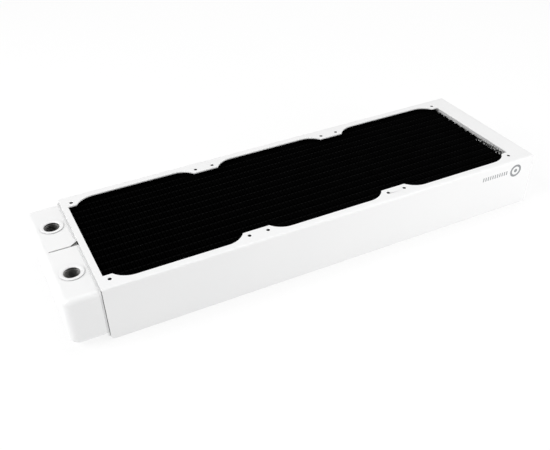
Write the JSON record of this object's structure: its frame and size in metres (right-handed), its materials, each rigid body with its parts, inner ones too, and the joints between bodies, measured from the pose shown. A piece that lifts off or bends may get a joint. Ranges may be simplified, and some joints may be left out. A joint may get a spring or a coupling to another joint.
{
  "type": "liquid cooling radiator",
  "caption": "Flat rectangular liquid cooling radiator: white sheet-metal case with a scalloped air opening on both faces, black tube-and-fin core and an end tank with threaded ports.",
  "frame": {"origin": "centre of the underside, midway along the overall length and across the width", "axes": "+X along the length, away from the ports; +Y across the width; +Z out of the face on the ports' side"},
  "size_m": [0.4, 0.125, 0.045],
  "materials": {
    "case_paint": "satin white powder coat",
    "tank_paint": "satin white powder coat",
    "header_paint": "white paint with black overspray",
    "bare_brass": "bare",
    "port_metal": "white painted collar over a plated thread",
    "core_black": "matte black paint",
    "tube_black": "matte black paint",
    "fin_black": "matte black paint"
  },
  "bodies": {
    "root": {"fan_shroud": "case_paint", "lower_fan_plate": "case_paint", "port_tank": "tank_paint", "return_tank": "tank_paint", "port_header": "tank_paint", "return_header": "header_paint", "tank_divider": "bare_brass", "inlet_bushing": "port_metal", "outlet_bushing": "port_metal", "side_plate_near": "core_black", "side_plate_far": "core_black", "tube_01": "tube_black", "tube_02": "tube_black", "tube_03": "tube_black", "tube_04": "tube_black", "tube_05": "tube_black", "tube_06": "tube_black", "tube_07": "tube_black", "tube_08": "tube_black", "tube_09": "tube_black", "tube_10": "tube_black", "tube_11": "tube_black", "tube_12": "tube_black", "tube_13": "tube_black", "tube_14": "tube_black", "fin_strip_01": "fin_black", "fin_strip_02": "fin_black", "fin_strip_03": "fin_black", "fin_strip_04": "fin_black", "fin_strip_05": "fin_black", "fin_strip_06": "fin_black", "fin_strip_07": "fin_black", "fin_strip_08": "fin_black", "fin_strip_09": "fin_black", "fin_strip_10": "fin_black", "fin_strip_11": "fin_black", "fin_strip_12": "fin_black", "fin_strip_13": "fin_black", "fin_strip_14": "fin_black", "fin_strip_15": "fin_black"}
  },
  "joints": []
}
